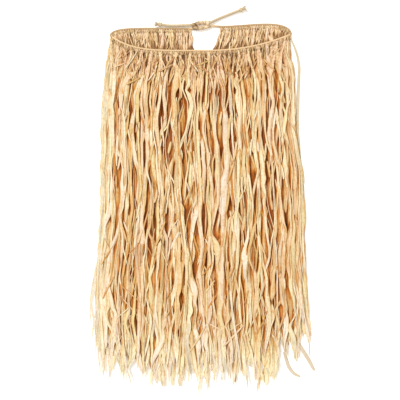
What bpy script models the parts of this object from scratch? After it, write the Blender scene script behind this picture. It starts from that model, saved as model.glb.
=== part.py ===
"""A raffia grass skirt, laid flat on its back with its waist pulled a little open.

+X points right and +Y from the hem to the waist, as seen from above, and +Z up from the surface that
the skirt lies on. The origin is under the middle of the skirt. All sizes are in metres.

A plait runs round the waist and is tied in a reef knot at the back, where the two ends of the fringe
stand a hand's width apart. Under the plait, raffia is gathered into short strips, called headings
here, and the locks hang from these in layers: two layers in the back panel, which lies on the
surface, and three in the front panel, which lies on the back one.
"""

import math
from collections import namedtuple

import bmesh
import bpy
import numpy as np
from mathutils import Vector

SEAM = 0.0003  # the gap between two pieces that meet

# The waist, seen from above. It folds at the two sides, and the front dips from both folds.
FOLD_LEFT = Vector((-0.2305, 0.4235))
FOLD_RIGHT = Vector((0.2215, 0.4265))
FRONT_DIP = 0.0385
FRONT_POWER = {"left": 4.7, "right": 2.3}  # how soon the dip is deep
BACK_RISE = {"left": 0.0180, "right": 0.0262}
BACK_POWER = {"left": 9.0, "right": 10.0}  # how square the back's shoulders are
BACK_END = {"left": -0.0285, "right": 0.0455}  # where the fringe stops, beside the opening
BACK_PULL = {"left": 0.0000, "right": -0.0065}  # the back's rise or sag at the opening
PULL_REACH = {"left": 0.060, "right": 0.130}

# The plait: three strands in a cord about 5 mm thick, which bulges on one edge and then on the other
PLAIT_HALF_WIDTH = 0.0025
PLAIT_HALF_THICK = 0.0023
PLAIT_BULGE = 0.0006
PLAIT_PITCH = 0.0120
PLAIT_SECTION = [(1.0, 0.25), (0.45, 1.0), (-0.45, 0.9), (-1.0, -0.25), (-0.45, -1.0), (0.45, -0.9)]
FOLD_REACH = 0.016  # the length beside a fold in which the plait climbs from the back to the front
FOLD_LIFT = 0.0008  # how far the front plait's end at a fold stands above the back one's

# The knot and the tie. An over of 1 is on top of the other cord, and of 0 is underneath.
KnotPoint = namedtuple("KnotPoint", "x y over")
KNOT_LEG = [  # from the end of a bight to its middle: the other half mirrors it
    KnotPoint(-0.0222, -0.0045, 0.5),
    KnotPoint(-0.0196, -0.0045, 0.5),
    KnotPoint(-0.0150, -0.0042, 1.0),
    KnotPoint(-0.0080, -0.0050, 0.6),
    KnotPoint(0.0000, -0.0064, 0.0),
    KnotPoint(0.0080, -0.0072, 0.5),
    KnotPoint(0.0145, -0.0048, 1.0),
    KnotPoint(0.0168, 0.0000, 1.0),
]
KNOT_CENTRE = Vector((-0.0030, 0.4490, 0.0))
KNOT_TILT = math.radians(8)  # the knot rises to the right
KNOT_RADIUS = 0.0036
KNOT_LOW = 0.0037
KNOT_HIGH = 0.0090
KNOT_STEP = 0.0062
KNOT_RAMP = 0.0100  # the length in which the left half's plait climbs to the knot
STUB_LENGTH = 0.0030  # the straight start of a cord that meets the knot
CORD_RADIUS = 0.0037
CORD_STEP = 0.0090
TIE_ROUTES = {
    "right": [(0.0400, 0.4660, 0.0048), (0.0600, 0.4742, 0.0043), (0.0780, 0.4813, 0.0043), (0.0930, 0.4868, 0.0060)],
    "left": [(-0.0450, 0.4494, 0.0048), (-0.0640, 0.4487, 0.0043), (-0.0850, 0.4489, 0.0043), (-0.1030, 0.4508, 0.0060)],
}
TipPoint = namedtuple("TipPoint", "along radius")
TIP_PROFILE = [  # a stop knot and then a short brush
    TipPoint(0.0000, 0.0036),
    TipPoint(0.0015, 0.0056),
    TipPoint(0.0065, 0.0058),
    TipPoint(0.0090, 0.0034),
    TipPoint(0.0180, 0.0052),
]
TIP_SIDES = 10

# The headings
HEADING_DEPTH = 0.0090
FRONT_HEADING_ENDS = (-0.2265, 0.2175)
BACK_HEADING_OUTER = {"left": -0.2120, "right": 0.2020}
HEADING_FLOOR = {"front": 0.0085, "back": 0.0}
HEADING_TOP = {"front": 0.0156, "back": 0.0066}
LOCKS_IN_GATHER = 2
GATHER_DEPTH = 0.28  # how far the heading sinks between its gathers, as a share of its thickness

# The locks
LOCK_WIDTH = 0.0094
LANE_FILL = 0.80  # the most of its own lane that a lock fills
LOCK_LENGTH = 0.810
SIDE_SHORTENING = {"left": 0.040, "right": 0.060}  # how much shorter the locks are cut at the side folds
BACK_EXTRA = 0.012
ROOT_SUNK = 0.0040  # how deep a root goes into its heading
ROOT_FILL = 0.72  # the share of its lane that a lock fills at the heading
ROOT_RISE = {"front": 0.0019, "back": 0.0026}
ROOT_CLEAR = 0.020  # the least length of a lock's first stretch
TIP_CLEAR = 0.035  # and of its last
TIP_WIDTH = 0.45
TIP_RISE = 0.60
LAYER_CLEAR = 0.0007  # the air between two layers
BACK_INSET = 0.010  # how far the back panel's sides lie inside the front one's
OPENING_LEAN = 0.0165  # how far the right half's edge leans into the opening at once
OPENING_CLOSES = {"left": 0.022, "right": 0.016}  # and how far each edge has come in at the hem
EDGE_BAND = 0.060  # the layers get thinner in this much of the skirt at each side
EDGE_THIN = 0.45  # to this share at its very edge

# The skirt's outline and the floor of each layer, one row for each line across the skirt
Line = namedtuple("Line", "y left right back_under back_upper front_1 front_2 front_3 top")
LINES = [
    Line(0.360, -0.2385, 0.2325, 0.0005, 0.0040, 0.0082, 0.0126, 0.0168, 0.0208),
    Line(0.270, -0.2470, 0.2360, 0.0005, 0.0049, 0.0099, 0.0148, 0.0197, 0.0244),
    Line(0.180, -0.2510, 0.2375, 0.0005, 0.0050, 0.0101, 0.0151, 0.0201, 0.0250),
    Line(0.090, -0.2520, 0.2480, 0.0005, 0.0050, 0.0101, 0.0151, 0.0201, 0.0250),
    Line(0.000, -0.2515, 0.2520, 0.0005, 0.0050, 0.0101, 0.0151, 0.0201, 0.0250),
    Line(-0.090, -0.2560, 0.2525, 0.0005, 0.0049, 0.0099, 0.0148, 0.0197, 0.0245),
    Line(-0.180, -0.2640, 0.2560, 0.0005, 0.0048, 0.0096, 0.0143, 0.0190, 0.0236),
    Line(-0.270, -0.2660, 0.2640, 0.0005, 0.0044, 0.0088, 0.0131, 0.0174, 0.0216),
    Line(-0.360, -0.2650, 0.2700, 0.0005, 0.0037, 0.0074, 0.0110, 0.0146, 0.0181),
    Line(-0.470, -0.2620, 0.2690, 0.0005, 0.0029, 0.0058, 0.0086, 0.0114, 0.0141),
]
ROOT_FLOORS = {"back_under": 0.0005, "back_upper": 0.0034, "front_1": 0.0088, "front_2": 0.0111, "front_3": 0.0134}

# Each layer has a section at every nth line
Layer = namedtuple("Layer", "name above locks_per_node every seed")
LAYERS = {
    "front": [
        Layer("front_1", "front_2", 6, 2, 11),
        Layer("front_2", "front_3", 8, 2, 12),
        Layer("front_3", "top", 9, 1, 13),
    ],
    "back": [
        Layer("back_under", "back_upper", 8, 2, 21),
        Layer("back_upper", "front_1", 6, 2, 22),
    ],
}
NODES = {"front": 6, "back": 3}

# Waves in the lanes that the locks follow: waves across a panel, strength, and length down the skirt
Wave = namedtuple("Wave", "across strength length")
WAVES = [Wave(2, 0.20, 0.55), Wave(5, 0.22, 0.38), Wave(9, 0.16, 0.27)]
WAVES_GROW_IN = 0.25  # the length below the headings in which they reach full strength

RAFFIA = (0.86, 0.66, 0.40)
RAFFIA_DEEP = (0.74, 0.52, 0.29)
PLAIT_COLOUR = (0.84, 0.68, 0.46)


def clear_scene():
    for obj in list(bpy.data.objects):
        bpy.data.objects.remove(obj, do_unlink=True)


def make_collection(name):
    collection = bpy.data.collections.new(name)
    bpy.context.scene.collection.children.link(collection)
    return collection


def make_material(name, colour, roughness):
    material = bpy.data.materials.new(name)
    material.use_nodes = True
    shader = material.node_tree.nodes["Principled BSDF"]
    shader.inputs["Base Color"].default_value = (*colour, 1.0)
    shader.inputs["Roughness"].default_value = roughness
    shader.inputs["Metallic"].default_value = 0.0
    return material


def add_object(name, data, material, collection):
    obj = bpy.data.objects.new(name, data)
    obj.data.materials.append(material)
    collection.objects.link(obj)
    return obj


def fuse(obj, other):
    """Join another object's solids to obj by a Boolean union, and keep that object as a guide."""
    other.hide_render = True
    other.display_type = "WIRE"
    union = obj.modifiers.new("fused", "BOOLEAN")
    union.operation = "UNION"
    union.solver = "EXACT"
    union.object = other


def smoothstep(t):
    t = min(1.0, max(0.0, t))
    return t * t * (3 - 2 * t)


def loft(solids):
    """A mesh of one or more closed tubes, each skinned over its own rings of points."""
    mesh = bmesh.new()
    for rings in solids:
        skins = [[mesh.verts.new(point) for point in ring] for ring in rings]
        sides = len(skins[0])
        for near, far in zip(skins, skins[1:]):
            for i in range(sides):
                j = (i + 1) % sides
                mesh.faces.new((near[i], near[j], far[j], far[i]))
        mesh.faces.new(list(reversed(skins[0])))
        mesh.faces.new(skins[-1])
    bmesh.ops.recalc_face_normals(mesh, faces=mesh.faces)
    data = bpy.data.meshes.new("loft")
    mesh.to_mesh(data)
    mesh.free()
    return data


# ---------------------------------------------------------------- lines across and along the skirt


def at_line(column, y):
    """A column of LINES at any y."""
    lines = LINES[::-1]
    return float(np.interp(y, [line.y for line in lines], [getattr(line, column) for line in lines]))


def thinning(x, y):
    """The share of their full height that the layers have at a point: they get thinner at the sides."""
    inside = min(x - at_line("left", y), at_line("right", y) - x)
    return EDGE_THIN + (1 - EDGE_THIN) * min(1.0, max(0.0, inside / EDGE_BAND))


def side_of(x):
    """The side that x is on, the fold there, and how far x has gone towards it, from 0 to 1."""
    side, fold = ("left", FOLD_LEFT) if x < 0 else ("right", FOLD_RIGHT)
    return side, fold, min(1.0, abs(x / fold.x))


def front_y(x):
    """The front plait's middle line: it dips from both folds."""
    side, fold, share = side_of(x)
    middle = FOLD_LEFT.y - FRONT_DIP
    return middle + (fold.y - middle) * share ** FRONT_POWER[side]


def back_y(x):
    """The back plait's middle line: level, with rounded shoulders that fall to the folds."""
    side, fold, share = side_of(x)
    pull = BACK_PULL[side] * (1 - smoothstep(abs(x - BACK_END[side]) / PULL_REACH[side]))
    return fold.y + BACK_RISE[side] * math.sqrt(1.0 - share ** BACK_POWER[side]) + pull


def plait_height(x, panel):
    """The height of the plait's middle line above the surface."""
    on_surface = PLAIT_HALF_THICK + SEAM
    if panel == "back":
        return on_surface
    _, fold, _ = side_of(x)
    on_back_panel = HEADING_TOP["back"] * thinning(x, front_y(x)) + LAYER_CLEAR + PLAIT_HALF_THICK
    climb = smoothstep(abs(x - fold.x) / FOLD_REACH)
    return on_surface + FOLD_LIFT + (on_back_panel - on_surface - FOLD_LIFT) * climb


# ---------------------------------------------------------------- the plait


def at_knot(x, y, over):
    """A point beside the knot's centre, turned with the knot, at a share of its height."""
    cos, sin = math.cos(KNOT_TILT), math.sin(KNOT_TILT)
    height = KNOT_LOW + (KNOT_HIGH - KNOT_LOW) * over
    return KNOT_CENTRE + Vector((x * cos - y * sin, x * sin + y * cos, height))


def knot_stub(side, end):
    """The first two points of a cord that meets the knot: side is left or right, end standing or free."""
    leg = KNOT_LEG[0]
    outward = -1 if side == "left" else 1
    y = leg.y if end == "standing" else -leg.y
    start = abs(leg.x) + SEAM
    return [at_knot(outward * x, y, leg.over) for x in (start, start + STUB_LENGTH)]


def back_points(start, fold):
    """Points along the back plait, closer together towards the fold, where it turns."""
    xs = [start + (fold.x - start) * math.sin(turn) for turn in np.linspace(0, math.pi / 2, 120)]
    return [(x, back_y(x), plait_height(x, "back")) for x in xs]


def waist_loop():
    """Points along the plait, from the knot round by the left, the front and the right to the knot."""
    front_xs = np.linspace(FOLD_LEFT.x, FOLD_RIGHT.x, 260)[1:-1]
    points = [
        *knot_stub("left", "standing"),
        *back_points(BACK_END["left"] - KNOT_RAMP, FOLD_LEFT),
        *((x, front_y(x), plait_height(x, "front")) for x in front_xs),
        *reversed(back_points(BACK_END["right"], FOLD_RIGHT)),
        *reversed(knot_stub("right", "standing")),
    ]
    return np.array([tuple(point) for point in points])


def resample(points, step):
    """Points along the same line, step apart."""
    along = np.concatenate([[0], np.cumsum(np.linalg.norm(np.diff(points, axis=0), axis=1))])
    even = np.linspace(0, along[-1], int(round(along[-1] / step)) + 1)
    return np.stack([np.interp(even, along, points[:, axis]) for axis in range(3)], axis=1)


def eased(points, rounds):
    """The line with its corners rounded, between two ends that stay."""
    points = points.copy()
    for _ in range(rounds):
        points[1:-1] = (points[:-2] + 2 * points[1:-1] + points[2:]) / 4
    return points


def plait_ring(centre, tangent, bulges_left):
    """A six-sided section of the plait, bulging on one edge and drawn in on the other."""
    across = Vector((-tangent.y, tangent.x, 0)).normalized()
    upward = tangent.cross(across)
    bulge = PLAIT_BULGE if bulges_left else -PLAIT_BULGE
    return [
        centre + across * (w * PLAIT_HALF_WIDTH + bulge * (abs(w) == 1.0)) + upward * (h * PLAIT_HALF_THICK)
        for w, h in PLAIT_SECTION
    ]


def build_waistband(material, collection):
    """The plait in three stretches, parted at the side folds."""
    line = resample(eased(resample(waist_loop(), 0.001), 14), PLAIT_PITCH / 2)
    tangents = np.gradient(line, axis=0)
    tangents[[0, -1]] = (-math.cos(KNOT_TILT), -math.sin(KNOT_TILT), 0.0)  # both ends meet the knot squarely
    left, right, end = int(line[:, 0].argmin()), int(line[:, 0].argmax()), len(line) - 1
    stretches = {
        "waistband_back_left": (0, left),
        "waistband_front": (left, right),
        "waistband_back_right": (right, end),
    }
    for name, (first, last) in stretches.items():
        rings = []
        for i in range(first, last + 1):
            tangent = Vector(tangents[i]).normalized()
            parted = SEAM / 2 * ((i == first > 0) - (i == last < end))
            rings.append(plait_ring(Vector(line[i]) + tangent * parted, tangent, i % 2 == 1))
        data = loft([rings])
        data.shade_smooth()
        add_object(name, data, material, collection)


# ---------------------------------------------------------------- headings and locks


def panel_sides(panel, y):
    """The left and right edge of a panel at y. The back is in two halves, with the opening between."""
    left, right = at_line("left", y), at_line("right", y)
    share_down = (LINES[0].y - y) / (LINES[0].y - LINES[-1].y)
    if panel == "back_left":
        return left + BACK_INSET, BACK_END["left"] + OPENING_CLOSES["left"] * share_down
    if panel == "back_right":
        return BACK_END["right"] - OPENING_LEAN - OPENING_CLOSES["right"] * share_down, right - BACK_INSET
    return left, right


def heading_ends(panel):
    if panel == "back_left":
        return BACK_HEADING_OUTER["left"], BACK_END["left"] - SEAM
    if panel == "back_right":
        return BACK_END["right"] + SEAM, BACK_HEADING_OUTER["right"]
    return FRONT_HEADING_ENDS


def heading_foot(panel, share):
    """(x, y) on the heading's lower edge, at a share of the way across the panel."""
    start, end = heading_ends(panel)
    x = start + (end - start) * share
    line = front_y if panel == "front" else back_y
    slope = (line(x + 0.001) - line(x - 0.001)) / 0.002
    plait_edge = line(x) - (PLAIT_HALF_WIDTH + PLAIT_BULGE) * math.hypot(1, slope)
    return x, plait_edge - 2 * SEAM - HEADING_DEPTH


class Lanes:
    """Wandering lanes side by side in one layer: they squeeze and part, and never cross."""

    def __init__(self, panel, seed):
        self.panel = panel
        self.phases = np.random.default_rng(seed).uniform(0, 2 * math.pi, (len(WAVES), 2))

    def place(self, share, y):
        """The x of a share across the layer at y."""
        left, right = panel_sides(self.panel, y)
        _, foot_y = heading_foot(self.panel, share)
        grown = smoothstep((foot_y - y) / WAVES_GROW_IN) * (1 - abs(2 * share - 1) ** 6)
        moved = share
        for wave, (p, q) in zip(WAVES, self.phases):
            size = grown * wave.strength / (2 * math.pi * wave.across)
            across, down = 2 * math.pi * wave.across * share, 2 * math.pi * y / wave.length
            slanting, standing = math.cos(q), 1 - abs(math.cos(q))
            moved += size * (slanting * math.sin(across + down + p) + standing * math.sin(across + q) * math.sin(down + p))
        return left + (right - left) * moved


def wedge(centre, half, y, floor, rise, ridge):
    """A triangle across a lock, with its ridge at a share of its width. It thins with the layers."""
    x_ridge = centre + (2 * ridge - 1) * half
    return [
        (centre - half, y, floor * thinning(centre - half, y)),
        (centre + half, y, floor * thinning(centre + half, y)),
        (x_ridge, y, (floor + rise) * thinning(x_ridge, y)),
    ]


def lock_length(panel, layer, x, rng):
    """Locks are cut unevenly, those at the sides are shorter, and some on top are shorter still."""
    side, _, share = side_of(x)
    full = LOCK_LENGTH - SIDE_SHORTENING[side] * share**6 + (0.0 if panel == "front" else BACK_EXTRA)
    if layer.name == "front_3" and rng.random() < 0.16:
        return full * rng.uniform(0.80, 0.93)
    return full * rng.uniform(0.945, 1.022)


def lock_rings(lanes, layer, left_share, right_share, rng):
    """Triangular sections down one lock, flat underneath, with a ridge that wanders from side to side."""
    panel = lanes.panel
    x, foot_y = heading_foot(panel, (left_share + right_share) / 2)
    tip_y = foot_y - lock_length(panel, layer, x, rng)
    lane = heading_foot(panel, right_share)[0] - heading_foot(panel, left_share)[0]
    ridge = rng.uniform(0.3, 0.7)
    rise = ROOT_RISE["front" if panel == "front" else "back"]
    rings = [
        wedge(x, ROOT_FILL / 2 * lane, y, ROOT_FLOORS[layer.name], rise, ridge)
        for y in (foot_y + ROOT_SUNK, foot_y - SEAM)
    ]
    stations = [line.y for line in LINES[:: layer.every] if foot_y - ROOT_CLEAR > line.y > tip_y + TIP_CLEAR]
    for y in (*stations, tip_y):
        low, high = lanes.place(left_share, y), lanes.place(right_share, y)
        at_tip = y == tip_y
        half = min(LOCK_WIDTH * rng.uniform(0.72, 1.0), LANE_FILL * (high - low)) / 2 * (TIP_WIDTH if at_tip else 1)
        room = max(0.0, (high - low) / 2 - half) * 0.8
        centre = (low + high) / 2 + rng.uniform(-room, room)
        ridge = min(0.85, max(0.15, ridge + rng.uniform(-0.35, 0.35)))
        floor = at_line(layer.name, y)
        most = at_line(layer.above, y) - floor - LAYER_CLEAR
        rise = most * rng.uniform(0.72, 1.0) * (TIP_RISE if at_tip else 1)
        rings.append(wedge(centre, half, y, floor, rise, ridge))
    return rings


def heading_rings(panel, start, end, gathers):
    """Sections of the strip that gathers the locks of one node, with a rise for each gather."""
    kind = "front" if panel == "front" else "back"
    last = 2 * gathers
    rings = []
    for i, share in enumerate(np.linspace(start, end, last + 1)):
        x, y = heading_foot(panel, share)
        x += SEAM / 2 * ((i == 0) - (i == last))
        low = HEADING_FLOOR[kind] * thinning(x, y)
        high = HEADING_TOP[kind] * thinning(x, y)
        top = low + (high - low) * (1.0 if i % 2 else 1.0 - GATHER_DEPTH)
        upper_y = y + HEADING_DEPTH
        rings.append([(x, y, low), (x, upper_y, low), (x, upper_y, top), (x, y, top)])
    return rings


def build_panel(panel, material, collection, guides):
    """The panel's nodes, each a heading with the locks of every layer fused into it."""
    kind = "front" if panel == "front" else "back"
    layers = LAYERS[kind]
    lanes_of = {layer.name: Lanes(panel, layer.seed) for layer in layers}
    gathers = math.ceil(max(layer.locks_per_node for layer in layers) / LOCKS_IN_GATHER)
    for node in range(NODES[kind]):
        start, end = node / NODES[kind], (node + 1) / NODES[kind]
        locks = []
        for layer in layers:
            rng = np.random.default_rng([layer.seed, node])
            shares = np.linspace(start, end, layer.locks_per_node + 1)
            for left_share, right_share in zip(shares, shares[1:]):
                locks.append(lock_rings(lanes_of[layer.name], layer, left_share, right_share, rng))
        name = f"fringe_{panel}_{node + 1}"
        heading = add_object(name, loft([heading_rings(panel, start, end, gathers)]), material, collection)
        fuse(heading, add_object(f"locks_of_{name}", loft(locks), material, guides))


# ---------------------------------------------------------------- the knot and the tie


def cord_curve(name, points, radius, resolution):
    """A tube with closed ends along a line of points."""
    curve = bpy.data.curves.new(name, "CURVE")
    curve.dimensions = "3D"
    curve.bevel_depth = radius
    curve.bevel_resolution = resolution
    curve.use_fill_caps = True
    spline = curve.splines.new("POLY")
    spline.points.add(len(points) - 1)
    for slot, point in zip(spline.points, points):
        slot.co = (*point, 1.0)
    return curve


def smooth_line(points, step):
    """A Catmull-Rom curve through the points, read about step apart."""
    points = [np.array(point, float) for point in points]
    padded = [2 * points[0] - points[1], *points, 2 * points[-1] - points[-2]]
    line = []
    for a, b, c, d in zip(padded, padded[1:], padded[2:], padded[3:]):
        pieces = max(1, int(round(np.linalg.norm(c - b) / step)))
        for t in np.arange(pieces) / pieces:
            bend = (c - a) * t + (2 * a - 5 * b + 4 * c - d) * t**2 + (3 * b - a - 3 * c + d) * t**3
            line.append(b + 0.5 * bend)
    line.append(points[-1])
    return line


def curve_to_mesh(curve, name):
    """The tube as a closed mesh, which a Boolean can use."""
    scratch = bpy.data.objects.new(name, curve)
    bpy.context.scene.collection.objects.link(scratch)
    graph = bpy.context.evaluated_depsgraph_get()
    data = bpy.data.meshes.new_from_object(scratch.evaluated_get(graph))
    bpy.data.objects.remove(scratch)
    mesh = bmesh.new()
    mesh.from_mesh(data)
    bmesh.ops.remove_doubles(mesh, verts=mesh.verts, dist=1e-6)
    mesh.to_mesh(data)
    mesh.free()
    data.shade_smooth()
    return data


def knot_bight(turned):
    """One of the reef knot's two bights. The right one is the left one turned round, and under it."""
    points = []
    for x, y, over in KNOT_LEG + [KnotPoint(p.x, -p.y, p.over) for p in reversed(KNOT_LEG[:-1])]:
        points.append(at_knot(-x if turned else x, y, 1 - over if turned else over))
    return curve_to_mesh(cord_curve("bight", smooth_line(points, KNOT_STEP), KNOT_RADIUS, 1), "bight")


def build_knot(material, collection, guides):
    """Two bights that hold each other, fused where they press together."""
    knot = add_object("knot", knot_bight(False), material, collection)
    fuse(knot, add_object("right_bight_of_knot", knot_bight(True), material, guides))


def build_tip(name, place, heading, material, collection):
    """A stop knot and its brush, turned about the cord's line."""
    outline = [TipPoint(0.0, 0.0), *TIP_PROFILE, TipPoint(TIP_PROFILE[-1].along, 0.0)]
    mesh = bmesh.new()
    verts = [mesh.verts.new((point.radius, 0.0, point.along)) for point in reversed(outline)]
    for a, b in zip(verts, verts[1:]):
        mesh.edges.new((a, b))
    data = bpy.data.meshes.new(name)
    mesh.to_mesh(data)
    mesh.free()
    tip = add_object(name, data, material, collection)
    screw = tip.modifiers.new("turned", "SCREW")
    screw.steps = screw.render_steps = TIP_SIDES
    screw.use_merge_vertices = True
    screw.merge_threshold = 0.00001
    tip.rotation_mode = "QUATERNION"
    tip.rotation_quaternion = heading.to_track_quat("Z", "Y")
    tip.location = place


def build_ties(material, collection):
    """The two free ends of the tie, each with its stop knot and brush."""
    for side, route in TIE_ROUTES.items():
        line = smooth_line([*knot_stub(side, "free"), *route], CORD_STEP)
        add_object(f"tie_end_{side}", cord_curve("tie", line, CORD_RADIUS, 2), material, collection)
        heading = (Vector(route[-1]) - Vector(route[-2])).normalized()
        build_tip(f"tie_tip_{side}", Vector(route[-1]) + heading * SEAM, heading, material, collection)


def main():
    clear_scene()
    skirt = make_collection("raffia_grass_skirt")
    guides = make_collection("guides")
    raffia = make_material("raffia", RAFFIA, 0.62)
    raffia_deep = make_material("raffia_deep", RAFFIA_DEEP, 0.66)
    plaited = make_material("plaited_raffia", PLAIT_COLOUR, 0.60)
    build_waistband(plaited, skirt)
    build_panel("front", raffia, skirt, guides)
    build_panel("back_left", raffia_deep, skirt, guides)
    build_panel("back_right", raffia_deep, skirt, guides)
    build_knot(plaited, skirt, guides)
    build_ties(plaited, skirt)


main()
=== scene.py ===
# %% [markdown]
# # A raffia grass skirt
#
# Raffia is dried palm leaf, torn into long strips. They fold along their length as they dry, twist,
# kink and cling to each other. This lesson dresses a skirt made of it: a plait round the waist, a
# knotted heading under it, and hundreds of ribbons that hang from the heading. The skirt lies flat on
# its back, with +Y towards the waist and +Z up.
#
# The frame holds plain solids at their real places. Every piece below follows one of them, rides on
# the same body and hides the solid that it stands for.

# %% Load the frame
import math
from collections import namedtuple

import bpy
import numpy as np
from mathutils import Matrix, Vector


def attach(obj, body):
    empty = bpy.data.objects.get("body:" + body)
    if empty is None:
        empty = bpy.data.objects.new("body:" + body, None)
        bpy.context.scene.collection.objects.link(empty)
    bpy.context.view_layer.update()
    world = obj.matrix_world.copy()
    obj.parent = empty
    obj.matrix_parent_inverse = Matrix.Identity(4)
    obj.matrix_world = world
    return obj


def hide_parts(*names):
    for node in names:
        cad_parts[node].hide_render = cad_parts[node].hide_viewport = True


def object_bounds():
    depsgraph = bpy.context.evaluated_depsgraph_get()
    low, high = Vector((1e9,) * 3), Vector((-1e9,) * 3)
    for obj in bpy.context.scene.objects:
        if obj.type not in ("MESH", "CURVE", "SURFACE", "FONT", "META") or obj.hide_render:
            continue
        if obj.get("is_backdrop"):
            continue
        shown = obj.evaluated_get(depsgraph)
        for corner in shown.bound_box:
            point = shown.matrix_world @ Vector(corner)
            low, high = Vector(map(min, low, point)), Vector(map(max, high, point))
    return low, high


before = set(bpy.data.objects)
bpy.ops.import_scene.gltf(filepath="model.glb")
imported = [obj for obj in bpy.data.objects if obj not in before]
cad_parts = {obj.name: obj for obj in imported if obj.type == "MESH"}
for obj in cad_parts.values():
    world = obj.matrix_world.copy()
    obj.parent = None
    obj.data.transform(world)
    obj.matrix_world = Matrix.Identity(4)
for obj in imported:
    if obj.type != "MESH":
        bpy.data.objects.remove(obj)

CAD_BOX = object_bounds()
BODY = "root"
MM = 0.001
TURN = 2 * math.pi
link = bpy.context.scene.collection.objects.link
seeded = np.random.default_rng  # gives the same random numbers in each run
print("nodes in the frame:", len(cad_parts), "box in metres:", CAD_BOX)

# %% [markdown]
# ## The camera
#
# A skirt on a table is looked at from straight above. A camera with no rotation already looks down
# its own -Z with +Y up, so only its place and its lens are set. A long lens from far away keeps the
# plait and the hem at nearly the same scale.

# %% Place the camera
VIEW_WIDTH = 1.000  # metres across the picture
VIEW_CENTRE = (-0.00625, 0.0125)
LENS = 85.0
SENSOR = 36.0
HEIGHT_OF_INTEREST = 0.006

camera_data = bpy.data.cameras.new("camera")
camera_data.lens = LENS
camera_data.sensor_width = SENSOR
camera = bpy.data.objects.new("camera", camera_data)
camera.location = (*VIEW_CENTRE, HEIGHT_OF_INTEREST + VIEW_WIDTH * LENS / SENSOR)
link(camera)
bpy.context.scene.camera = camera
print("camera height:", round(camera.location.z, 3), "m")

# %% [markdown]
# ## Lines and tubes
#
# Almost everything here is a tube along a line: a ribbon, a ply of a cord, a loop. Thousands of curve
# objects would be slow and can't change their section from point to point. So one helper turns
# arrays into one mesh: for each tube, rings of points along a line, skinned into quads and closed at
# both ends.

# %% Helpers for lines
def smooth_line(points, step):
    """A Catmull-Rom curve through the points, read about step apart."""
    points = np.array(points, float)
    padded = [2 * points[0] - points[1], *points, 2 * points[-1] - points[-2]]
    line = []
    for a, b, c, d in zip(padded, padded[1:], padded[2:], padded[3:]):
        pieces = max(1, int(round(np.linalg.norm(c - b) / step)))
        for t in np.arange(pieces) / pieces:
            bend = (c - a) * t + (2 * a - 5 * b + 4 * c - d) * t**2 + (3 * b - a - 3 * c + d) * t**3
            line.append(b + 0.5 * bend)
    line.append(points[-1])
    return np.array(line)


def distances(line):
    """How far along a line each of its points is."""
    return np.concatenate([[0.0], np.cumsum(np.linalg.norm(np.diff(line, axis=0), axis=1))])


def resample(line, count):
    """The same line with count points, evenly apart."""
    along = distances(line)
    even = np.linspace(0, along[-1], count)
    return np.stack([np.interp(even, along, line[:, axis]) for axis in range(3)], axis=1)


def eased(line, rounds):
    """The line with its corners rounded, between two ends that stay."""
    line = line.copy()
    for _ in range(rounds):
        line[1:-1] = (line[:-2] + 2 * line[1:-1] + line[2:]) / 4
    return line


def unit(vectors):
    return vectors / np.maximum(np.linalg.norm(vectors, axis=-1, keepdims=True), 1e-9)


def frames_along(lines):
    """For lines (..., points, 3): the level direction across them, and the one upward."""
    along = unit(np.gradient(lines, axis=-2))
    level = unit(np.stack([along[..., 1], -along[..., 0], 0 * along[..., 0]], axis=-1))
    return level, np.cross(level, along)


def ease(t):
    """0 below 0, 1 above 1, and an eased climb between them."""
    t = np.clip(t, 0.0, 1.0)
    return t * t * (3 - 2 * t)


def wander(rng, along, spacing, size, bent=False):
    """Noise along each strand: a new value every spacing metres, eased between them or bent at them."""
    count = int(along.max() / spacing) + 4
    values = rng.normal(0.0, size, (len(along), count))
    place = along / spacing + rng.uniform(0, 1, (len(along), 1))
    cell = place.astype(int)
    t = place - cell if bent else ease(place - cell)
    row = np.arange(len(along))[:, None]
    return values[row, cell] * (1 - t) + values[row, cell + 1] * t

# %% Helpers for meshes
CREASE = math.radians(50)  # edges sharper than this are shaded as creases
STRIP_GAP = 0.12  # of a strip's width on the map
CAP_ROOM = 0.02  # of the map's height at each end, for the caps
CAP_SIZE = (0.30, 0.006)  # of a strip's width, and of the map's height


def tube_mesh(name, rings, marks, sharp=False):
    """One mesh from rings of shape (tubes, sections, sides, 3) and marks of shape (..., sides, 4).

    The marks are a colour on each point, which the materials read: tone, depth, along, across.
    """
    tubes, sections, sides, _ = rings.shape
    index = np.arange(tubes * sections * sides).reshape(tubes, sections, sides)
    here, there = index[:, :-1], index[:, 1:]
    quads = np.stack([here, np.roll(here, -1, 2), np.roll(there, -1, 2), there], axis=-1).reshape(-1, 4)
    caps = np.concatenate([index[:, 0, ::-1], index[:, -1]])
    corners = np.concatenate([quads.ravel(), caps.ravel()])
    sizes = np.concatenate([np.full(len(quads), 4), np.full(len(caps), sides)])
    mesh = bpy.data.meshes.new(name)
    mesh.vertices.add(index.size)
    mesh.vertices.foreach_set("co", rings.ravel())
    mesh.loops.add(len(corners))
    mesh.loops.foreach_set("vertex_index", corners.astype(np.int32))
    mesh.polygons.add(len(sizes))
    mesh.polygons.foreach_set("loop_start", (np.cumsum(sizes) - sizes).astype(np.int32))
    mesh.update(calc_edges=True)
    colour = mesh.color_attributes.new("marks", "FLOAT_COLOR", "POINT")
    colour.data.foreach_set("color", marks.ravel().astype(np.float32))
    add_strip_uv(mesh, tubes, sections, sides)
    mesh.shade_smooth()
    if sharp:
        mesh.set_sharp_from_angle(angle=CREASE)
    mesh.validate()
    return mesh


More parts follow.
